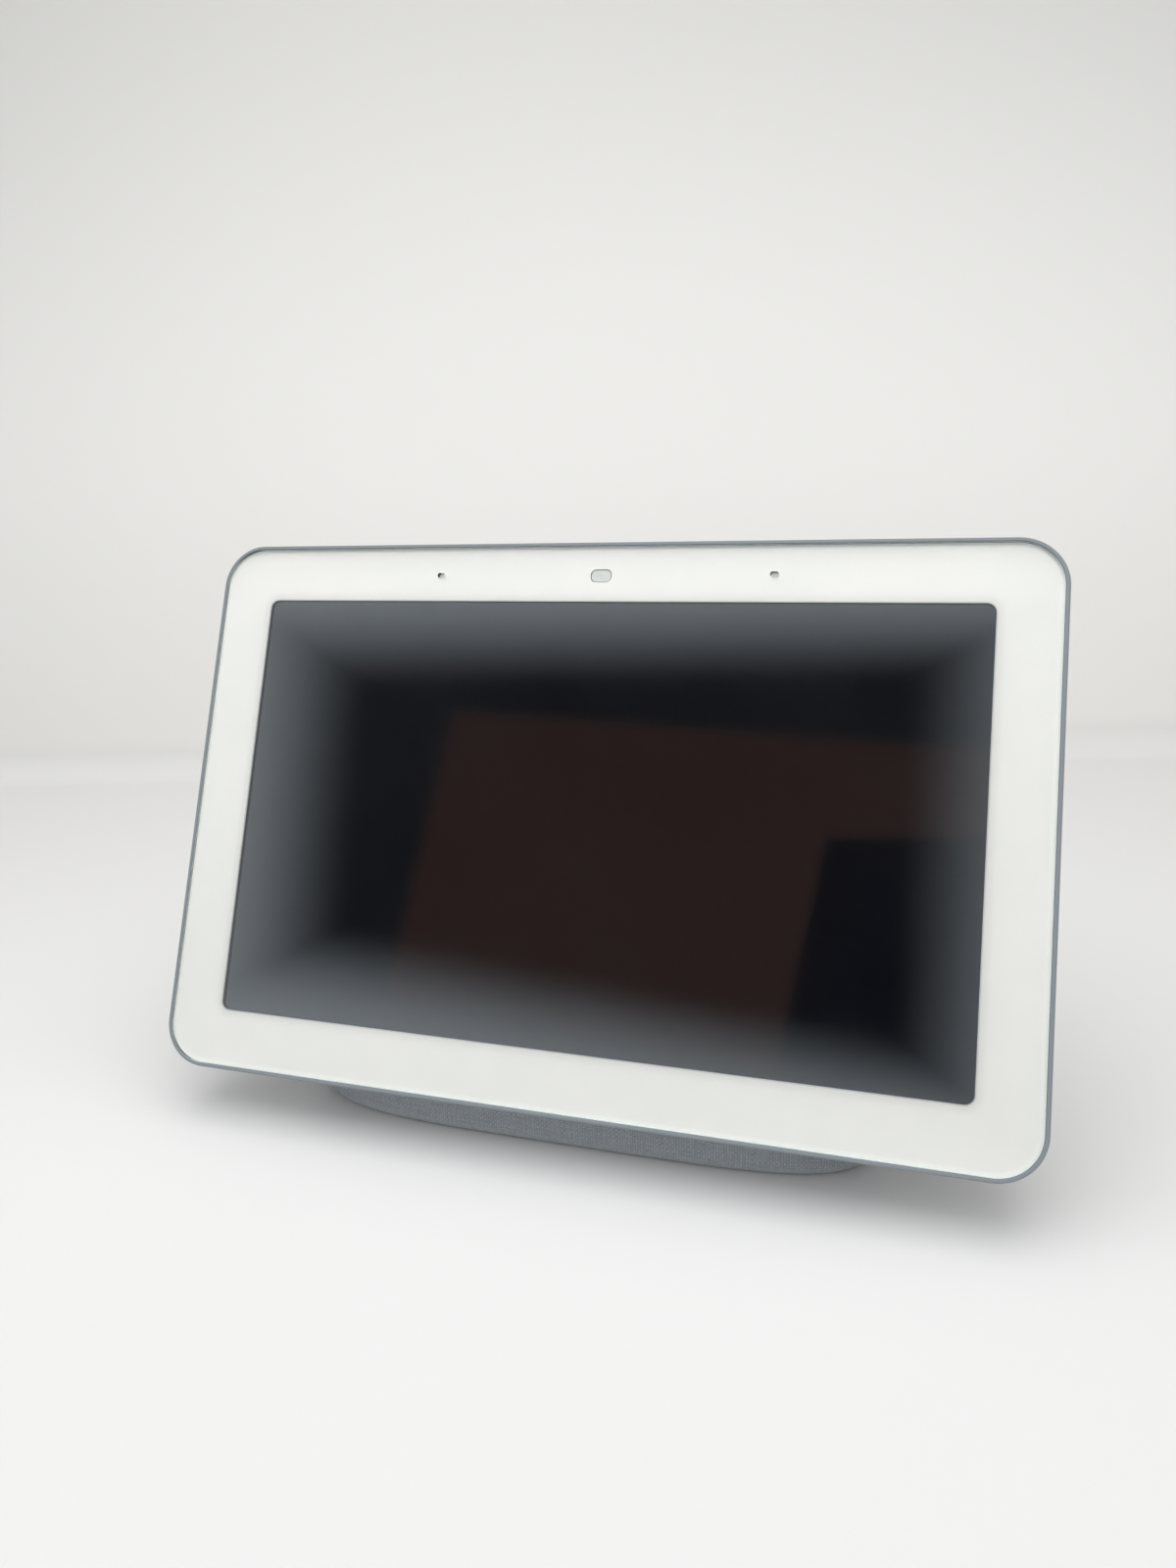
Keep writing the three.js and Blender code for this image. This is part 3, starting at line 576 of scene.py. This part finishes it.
# Looks of the pieces carried over from the frame, in its metres, seen only if it is opened.
INNER_LOOKS = {
    "housing_grey": grained("shell_plastic", HOUSING_GREY, 0.5, grain=0.25 * MM, depth=0.01 * MM),
    "sheet_steel": grained(
        "sheet_steel", (0.56, 0.57, 0.58), 0.32, grain=0.15 * MM, depth=0.003 * MM,
        metallic=1.0, stretch=(1, 8, 8)),
    "spreader_aluminium": grained(
        "spreader_aluminium", (0.78, 0.79, 0.8), 0.36, grain=0.2 * MM, depth=0.003 * MM,
        metallic=1.0, stretch=(8, 1, 1)),
    "board_green": grained(
        "board_green", (0.02, 0.12, 0.06), 0.4, grain=0.6 * MM, depth=0.01 * MM, contrast=0.3),
    "flex_amber": grained(
        "flex_amber", (0.42, 0.19, 0.04), 0.35, grain=0.4 * MM, depth=0.004 * MM, contrast=0.2),
    "chip_black": grained("chip_black", (0.015, 0.015, 0.017), 0.5, grain=0.1 * MM, depth=0.006 * MM),
    "gasket_rubber": grained(
        "gasket_rubber", (0.02, 0.02, 0.022), 0.85, grain=0.2 * MM, depth=0.02 * MM),
    "inner_plastic": grained(
        "tray_plastic", (0.04, 0.042, 0.046), 0.55, grain=0.25 * MM, depth=0.01 * MM),
    "screw_steel": grained(
        "screw_steel", (0.5, 0.51, 0.52), 0.3, grain=0.1 * MM, depth=0.002 * MM, metallic=1.0),
    "magnet_metal": grained("magnet_metal", (0.03, 0.03, 0.034), 0.4, grain=0.3 * MM, depth=0.006 * MM),
    "cone_paper": grained(
        "cone_paper", (0.035, 0.034, 0.033), 0.9, grain=0.35 * MM, depth=0.03 * MM, contrast=0.3),
    "lead_jacket": grained("lead_jacket", (0.015, 0.015, 0.017), 0.55, grain=0.3 * MM, depth=0.006 * MM),
    "light_guide": grained("light_guide_sheet", (0.8, 0.8, 0.77), 0.4, grain=0.5 * MM, depth=0.004 * MM),
}


def dress_inner_nodes():
    """Gives every node that came with the frame a worked material in place of its plain one."""
    slots = {part["node"]: part["material_slot"] for part in frame["record"]["subparts"]}
    for node, piece in frame["nodes"].items():
        material = INNER_LOOKS.get(slots[node]) or LOOKS[slots[node]]
        for place in piece.material_slots:
            place.material = material


# ---------- head ----------
def add_head_piece(name, mesh, slot, replaces=(), body="display", look=None):
    return add_object(name, mesh, HEAD, body, LOOKS[look or slot], replaces)


def mic_hole_cutters():
    return [hole_through_glass(slot_size(*MIC_HOLE), spot, steps=6) for spot in MIC_SPOTS.values()]


def make_mic_meshes():
    width, height = (length - 2 * MIC_MESH["margin"] for length in MIC_HOLE)
    for side, spot in MIC_SPOTS.items():
        name = f"mic_mesh_{side}"
        rings = plate_rings(
            slot_size(width, height), MIC_MESH["front"], MIC_MESH["back"], MIC_MESH["edge"],
            centre=spot, steps=6)
        add_head_piece(name, ring_mesh(name, rings), "light_guide", look="mic_mesh")


def make_glass():
    rings = plate_rings(GLASS, 0.0, -GLASS_THICK, GLASS_EDGE, steps=16)
    mesh = cut(ring_mesh("cover_glass", rings), mic_hole_cutters())
    add_head_piece("cover_glass", mesh, "clear_glass", ["front_glass"])


def make_border():
    rings = stack(GLASS, [(INK_MARGIN, w) for w in INK_LEVELS], steps=16)
    window = hole_through_glass(WINDOW)
    sensor = hole_through_glass(SENSOR_OPENING, (0, TOP_FEATURES_V))
    mesh = cut(ring_mesh("border_ink", rings), [window, sensor, *mic_hole_cutters()])
    add_head_piece("border_ink", mesh, "white_ink", ["white_border"])


def make_screen():
    rings = plate_rings(**SCREEN, steps=6)
    add_head_piece("screen_panel", ring_mesh("screen_panel", rings), "lcd_black", ["lcd_panel"])


def make_sensor_film():
    rings = plate_rings(**SENSOR_FILM, centre=(0, TOP_FEATURES_V), steps=8)
    add_head_piece("sensor_film", ring_mesh("sensor_film", rings), "light_guide", ["light_pipe"])


def flared_slot(width, height, centre):
    """A cutter for a slot through the back wall whose outer rim is eased."""
    easing = SLOT["easing"]
    levels = [
        (-easing - SLOT["flare"], HEAD_BACK - SLOT["outside"]),
        (-easing, HEAD_BACK),
        (-SLOT["last_flare"], HEAD_BACK + easing),
        (0, HEAD_BACK + SLOT["throat"]),
        (0, SLOT["floor"]),
    ]
    return cutter(stack(slot_size(width, height), levels, centre, steps=10))


def make_housing():
    """A tray with rounded back edges, a lip round the glass, and slots for the two controls."""
    back = quarter_round(
        BACK_ROUND["inset"], HEAD_BACK - BACK_ROUND["start"], BACK_ROUND["start"], steps=10)
    side = [(0.0, w) for w in SIDE_LEVELS]
    lip_inset = LIP[-1][0]
    inside = [(lip_inset, LEDGE["w"]), (LEDGE["inset"], LEDGE["w"]), (LEDGE["inset"], LEDGE["floor"])]
    rings = stack(HOUSING, [*reversed(back), *side, *LIP, *inside], steps=16)
    mute_slot = flared_slot(
        MUTE["width"] + MUTE["travel"] + 2 * MUTE["gap"], MUTE["height"] + 2 * MUTE["gap"],
        (0, MUTE["v"]))
    rocker_slot = flared_slot(
        ROCKER["width"] + 2 * ROCKER["side_gap"], ROCKER["length"] + 2 * ROCKER["end_gap"],
        (ROCKER["u"], ROCKER["v"]))
    mesh = cut(ring_mesh("head_housing", rings), [mute_slot, rocker_slot])
    add_head_piece("head_housing", mesh, "housing_grey", ["rear_housing"])


def make_mute_slider():
    """The sliding knob and the three grip ridges on it."""
    edge = quarter_round(MUTE["edge"], -MUTE["edge"], MUTE["back"] + MUTE["edge"])
    knob_size = slot_size(MUTE["width"], MUTE["height"])
    rings = stack(knob_size, [(0, CONTROL_ROOT), *edge], (MUTE["rest_u"], MUTE["v"]), steps=10)
    add_head_piece(
        "mute_knob", ring_mesh("mute_knob", rings), "housing_grey", ["mute_slider"], "mute_control")
    ridge = quarter_round(RIDGE["edge"], -RIDGE["rise"], MUTE["back"] + RIDGE["sunk"], steps=4)
    for index in range(3):
        name = f"mute_knob_ridge_{index + 1}"
        spot = (MUTE["rest_u"] + (index - 1) * RIDGE["pitch"], MUTE["v"])
        rings = stack(slot_size(RIDGE["width"], RIDGE["height"]), ridge, spot, steps=6)
        add_head_piece(name, ring_mesh(name, rings), "housing_grey", body="mute_control")


def make_rocker():
    """The long volume key, with a soft edge and a slightly raised crown."""
    back, drop = ROCKER["back"], ROCKER["edge_drop"]
    edge = quarter_round(ROCKER["edge"], -drop, back + drop, steps=8)
    crown = [(inset, back - rise) for inset, rise in ROCKER_CROWN]
    size = slot_size(ROCKER["width"], ROCKER["length"])
    rings = stack(size, [(0, CONTROL_ROOT), *edge, *crown], (ROCKER["u"], ROCKER["v"]))
    add_head_piece(
        "volume_key", ring_mesh("volume_key", rings), "housing_grey", ["volume_rocker"],
        "volume_control")


# ---------- base ----------
def base_ring(z, dome, inset, segments):
    """A horizontal section of the base: a superellipse that narrows with height."""
    above = max(0.0, z - BASE["rise_from"])
    drawn_in = inset + max(0.0, BASE["rounding"] - z) ** 2 * BASE["rounding_curve"]
    half_width = (BASE["half_width"] - BASE["taper"] * above) * dome - drawn_in
    front = BASE["front"] + drawn_in
    rear = BASE["top_rear"] + (BASE["rear"] - BASE["top_rear"] - BASE["lean"] * above) * dome - drawn_in
    middle, half_depth = (front + rear) / 2, (rear - front) / 2
    power = BASE["corner"]
    points = []
    for k in range(segments):
        angle = (k + 0.5) / segments * 2 * math.pi
        across, along = math.cos(angle), math.sin(angle)
        reach = (abs(across) ** power + abs(along) ** power) ** (-1 / power)
        points.append(Vector((half_width * reach * across, middle + half_depth * reach * along, z)))
    return points


def base_levels(bottom, straight_steps, dome_steps):
    """(z, dome) pairs from the bottom edge to the top of the dome."""
    rise = BASE["rise_from"]
    levels = [(bottom + (rise - bottom) * k / straight_steps, 1.0) for k in range(straight_steps + 1)]
    for k in range(1, dome_steps):
        angle = k / dome_steps * math.pi / 2
        climb = math.sin(angle) ** (2 / BASE["dome"])
        levels.append((rise + climb * (BASE["top"] - rise), math.cos(angle) ** (2 / BASE["dome"])))
    return levels


def running_share(steps):
    """How far along its whole length each step of a path starts, from 0 to 1."""
    return [sum(steps[:i]) / sum(steps) for i in range(len(steps) + 1)]


def lay_out_fabric(mesh, segments, levels):
    """Coordinates for the weave: across by distance round a wide ring, up by distance up the rear."""
    points = [vertex.co for vertex in mesh.vertices]
    widest = levels // 4 * segments
    rear = segments // 4
    around = running_share([
        (points[widest + (i + 1) % segments] - points[widest + i]).length for i in range(segments)])
    upward = running_share([
        (points[(row + 1) * segments + rear] - points[row * segments + rear]).length
        for row in range(levels - 1)])
    layout = mesh.uv_layers.new(name="weave")
    for face in mesh.polygons:
        columns = [mesh.loops[corner].vertex_index % segments for corner in face.loop_indices]
        wraps = max(columns) - min(columns) > segments / 2
        for corner, column in zip(face.loop_indices, columns):
            row = mesh.loops[corner].vertex_index // segments
            column = segments if wraps and column == 0 else column
            layout.data[corner].uv = (around[column], upward[row])


def make_sleeve():
    """Knitted cloth stretched over the base, trimmed where the head sits and open at the inlet."""
    segments = 200
    levels = base_levels(SLEEVE_BOTTOM, straight_steps=14, dome_steps=64)
    hem = [base_ring(z, 1.0, inset, segments) for z, inset in HEM]
    body = [base_ring(z, dome, 0.0, segments) for z, dome in levels]
    mesh = ring_mesh("fabric_cover", hem + body, capped=False)
    lay_out_fabric(mesh, segments, len(hem + body))
    head_in_row = ROW_MM.inverted() @ HEAD
    head_out = head_in_row.to_3x3() @ UP
    trim_to_plane(mesh, head_in_row @ Vector((0, 0, SLEEVE_PLANE)), head_out)
    opening = rear_drill(JACK["x"], JACK["z"], FABRIC_OPENING, near=20, far=40)
    mesh = cut(thickened(mesh, SLEEVE_THICK), [opening])
    piece = add_object(
        "fabric_cover", mesh, ROW_MM, "display", LOOKS["knit_grey"], ["fabric_sleeve"])


def make_foot():
    """The rubber pad under the base, with eased edges."""
    rings = []
    for inset, z in FOOT_EDGE:
        outline = base_ring(BASE["rise_from"], 1.0, FOOT_INSET + inset, segments=160)
        rings.append([Vector((p.x, p.y, z)) for p in outline])
    add_object(
        "foot_pad", ring_mesh("foot_pad", rings), ROW_MM, "display",
        LOOKS["foot_rubber"], ["rubber_foot"])


def make_jack():
    """The round mouth of the power inlet, with a recess, a socket and its pin."""
    floor, mouth = JACK["floor"], JACK["mouth"]
    inner_end = floor - JACK_DEPTHS["barrel"]
    socket_floor = floor - JACK_DEPTHS["socket"]
    pin_root = floor - JACK_DEPTHS["pin_root"]
    pin_tip = floor - JACK_DEPTHS["pin_tip"]
    place = Matrix.Translation((JACK["x"] * MM, 0, JACK["z"] * MM)) @ ROW_MM
    barrel = [
        (TINY, inner_end), (JACK_COLLAR - 0.2, inner_end), (JACK_COLLAR, inner_end + 0.2),
        (JACK_COLLAR, mouth - 0.5), (JACK_COLLAR - 0.15, mouth - 0.12), (JACK_COLLAR - 0.4, mouth),
        (JACK_RECESS + 0.25, mouth - 0.08), (JACK_RECESS, mouth - 0.4), (JACK_RECESS, floor),
        (JACK_SOCKET + 0.2, floor), (JACK_SOCKET, floor - 0.2),
        (JACK_SOCKET, socket_floor), (TINY, socket_floor),
    ]
    add_object(
        "inlet_barrel", turned_mesh("inlet_barrel", barrel), place, "display",
        LOOKS["inner_plastic"], ["dc_jack"])
    pin = [
        (TINY, pin_root), (JACK_PIN, pin_root), (JACK_PIN, pin_tip - 0.65),
        (JACK_PIN - 0.15, pin_tip - 0.25), (JACK_PIN - 0.5, pin_tip - 0.05), (TINY, pin_tip),
    ]
    add_object(
        "inlet_pin", turned_mesh("inlet_pin", pin, 32), place, "display",
        LOOKS["pin_brass"], ["dc_jack_pin"])


# ---------- studio ----------
CAMERA_PLACE = Vector((0.06234, -0.2014, 0.1366))
CAMERA_YAW, CAMERA_PITCH, CAMERA_ROLL = (math.radians(a) for a in (17.335, 17.392, -2.222))
CAMERA_LENS = 24.6
CAMERA_SENSOR = 36


def make_camera():
    data = bpy.data.cameras.new("camera")
    data.lens = CAMERA_LENS
    data.sensor_width = CAMERA_SENSOR
    data.clip_start = 0.01
    camera = bpy.data.objects.new("camera", data)
    turn = (
        Matrix.Rotation(CAMERA_YAW, 4, "Z")
        @ Matrix.Rotation(math.pi / 2 - CAMERA_PITCH, 4, "X")
        @ Matrix.Rotation(CAMERA_ROLL, 4, "Z")
    )
    camera.matrix_world = Matrix.Translation(CAMERA_PLACE) @ turn
    bpy.context.scene.collection.objects.link(camera)
    bpy.context.scene.camera = camera


# The floor and the wall of the studio, with painted shade: the floor darker towards the wall, the wall
# darker towards its top and sides.
WALL_PLACE = Vector((0, 0.26, 0))
WALL_YAW = math.radians(14.4)
SWEEP = {"half_width": 3.0, "reach": 4.0, "near": 0.5, "height": 2.5, "bend": 0.012, "steps": 6}
FLOOR_NEAR = (0.76, 0.752, 0.745)
FLOOR_FAR_SHADE = (0.67, 0.657, 0.643)
WALL_FOOT = (0.81, 0.795, 0.77)
WALL_MIDDLE = (0.825, 0.809, 0.785)
WALL_TOP_SHADE = (0.49, 0.482, 0.465)
WALL_SIDE_SHADE = (0.36, 0.355, 0.34)
CARD_MOTTLE = (0.5, 0.5, 0.5)


def sweep_material():
    """Matt white card, seen only from its front, with painted shade on the far floor and on the wall's
    top and sides.
    """
    look = Look("studio_card", roughness=0.9)
    across, along, height = look.axes(look.place.outputs["Object"])
    # painted shade: the floor darker towards the wall
    floor = look.mix(look.between(along, -0.32, 0.02), FLOOR_NEAR, FLOOR_FAR_SHADE)
    wall = look.mix(look.between(height, 0.0, 0.12), WALL_FOOT, WALL_MIDDLE)
    # painted shade: the wall darker towards its top
    wall = look.mix(look.between(height, 0.12, 0.4), wall, WALL_TOP_SHADE)
    # painted shade: the wall darker towards its sides
    side_shade = look.between(look.math("ABSOLUTE", across), 0.05, 0.5, 0.0, 0.25)
    wall = look.mix(side_shade, wall, WALL_SIDE_SHADE)
    card = look.mix(look.between(height, 0.0, 0.02), floor, wall)
    look.colour(look.mix(look.spread(look.noise(0.3, 2.0), 0.0, 0.03), card, CARD_MOTTLE))
    geometry = look.nodes.new("ShaderNodeNewGeometry")
    look.clear_where(geometry.outputs["Backfacing"])
    return look.material


def make_sweep():
    """A pale floor that turns up into a wall behind the object."""
    bend, steps = SWEEP["bend"], SWEEP["steps"]
    turn = [k / steps * math.pi / 2 for k in range(1, steps + 1)]
    profile = [(-SWEEP["reach"], 0.0), (-SWEEP["near"], 0.0), (-bend, 0.0)]
    profile += [(-bend + bend * math.sin(a), bend * (1 - math.cos(a))) for a in turn]
    profile.append((0.0, SWEEP["height"]))
    sides = (-SWEEP["half_width"], SWEEP["half_width"])
    points = [Vector((x, y, z)) for y, z in profile for x in sides]
    faces = [(2 * k, 2 * k + 1, 2 * k + 3, 2 * k + 2) for k in range(len(profile) - 1)]
    mesh = bpy.data.meshes.new("studio_sweep")
    mesh.from_pydata(points, [], faces)
    smooth(mesh, sharp_degrees=60)
    sweep = bpy.data.objects.new("studio_sweep", mesh)
    bpy.context.scene.collection.objects.link(sweep)
    sweep.matrix_world = Matrix.Translation(WALL_PLACE) @ Matrix.Rotation(WALL_YAW, 4, "Z")
    dress(sweep, sweep_material())


# What the dark screen mirrors: a dim room seen through the open front of a white tent. It is laid
# out as across and up on a plane at distance 1 in the direction of the room.
ROOM_DIRECTION = Vector((-0.2911, -0.8308, 0.4744)).normalized()
ROOM_ACROSS = UP.cross(-ROOM_DIRECTION).normalized()
ROOM_UP = (-ROOM_DIRECTION).cross(ROOM_ACROSS)
CLOTH_WHITE = (0.86, 0.86, 0.86)
OPENING_WHITE = (1.12, 1.17, 1.2)
ROOM_DARK = (0.03, 0.032, 0.042)
DOOR_BROWN = (0.118, 0.062, 0.052)
CABINET_BLACK = (0.006, 0.007, 0.016)
# Each edge of the opening: the line's lean in degrees and its offset, its side, and where the haze
# of the cloth starts and is full.
OPENING_EDGES = (
    (-14.0, 0.168, 1, -0.044, 0.062),
    (-2.0, -0.168, -1, -0.035, 0.075),
    (81.5, -0.252, -1, -0.05, 0.1),
    (80.5, 0.357, 1, -0.06, 0.12),
)
# The door and the cabinet: the lean and the offset of the top edge, the range across which the side
# edge fades, and how softly the top edge fades.
DOOR = {"top": (-9, 0.095), "side": (0.13, 0.145), "softness": 0.006}
CABINET = {"top": (-14, -0.02), "side": (-0.235, -0.225), "softness": 0.005}


def room_view(paint):
    """How squarely a ray heads for the room, and where it meets the plane: across and up."""
    direction = paint.place.outputs["Generated"]
    toward = paint.dot(direction, ROOM_DIRECTION)
    ahead = paint.math("MAXIMUM", toward, 0.05)
    across = paint.math("DIVIDE", paint.dot(direction, ROOM_ACROSS), ahead)
    upward = paint.math("DIVIDE", paint.dot(direction, ROOM_UP), ahead)
    return toward, across, upward


def turned_line(paint, across, upward, angle, offset):
    """Distance of a ray above a line that leans by angle and crosses the middle at offset."""
    lean = math.radians(angle)
    rise = paint.math("MULTIPLY", upward, math.cos(lean))
    run = paint.math("MULTIPLY", across, -math.sin(lean))
    return paint.math("SUBTRACT", paint.math("ADD", rise, run), offset)


def corner_patch(paint, across, upward, thing):
    """1 below the top edge and left of the side edge of a thing in the room."""
    softness = thing["softness"]
    above = turned_line(paint, across, upward, *thing["top"])
    below_top = paint.between(above, -softness, softness, 1.0, 0.0)
    return paint.math("MULTIPLY", below_top, paint.between(across, *thing["side"], 1.0, 0.0))


def tent_light(paint):
    """The tent's white cloth, and inside its opening a brown door and a dark cabinet."""
    toward, across, upward = room_view(paint)
    cloth = paint.between(toward, 0.25, 0.35, 1.0, 0.0)
    for lean, offset, side, start, full in OPENING_EDGES:
        beyond = paint.math("MULTIPLY", turned_line(paint, across, upward, lean, offset), side)
        cloth = paint.math("MAXIMUM", cloth, paint.between(beyond, start, full))
    room = paint.mix(corner_patch(paint, across, upward, DOOR), ROOM_DARK, DOOR_BROWN)
    room = paint.mix(corner_patch(paint, across, upward, CABINET), room, CABINET_BLACK)
    lit_cloth = paint.mix(paint.between(toward, 0.5, 0.85), CLOTH_WHITE, OPENING_WHITE)
    rays = paint.nodes.new("ShaderNodeLightPath")
    return paint.mix(rays.outputs["Is Camera Ray"], paint.mix(cloth, room, lit_cloth), CLOTH_WHITE)


LAMP_PLACE = (0.0, -0.1, 0.5)
LAMP_SIZE = 0.5
LAMP_WATTS = 1.5


def make_light():
    world = bpy.data.worlds.new("tent_light")
    world.use_nodes = True
    paint = Paint(world.node_tree)
    paint.link(tent_light(paint), world.node_tree.nodes["Background"].inputs["Color"])
    bpy.context.scene.world = world
    lamp = bpy.data.lights.new("top_light", "AREA")
    lamp.size = LAMP_SIZE
    lamp.energy = LAMP_WATTS
    top = bpy.data.objects.new("top_light", lamp)
    top.location = LAMP_PLACE
    bpy.context.scene.collection.objects.link(top)
    bpy.context.scene.view_settings.view_transform = "Standard"


dress_inner_nodes()
make_glass()
make_border()
make_screen()
make_sensor_film()
make_mic_meshes()
make_housing()
make_mute_slider()
make_rocker()
make_sleeve()
make_foot()
make_jack()
make_camera()
make_sweep()
make_light()
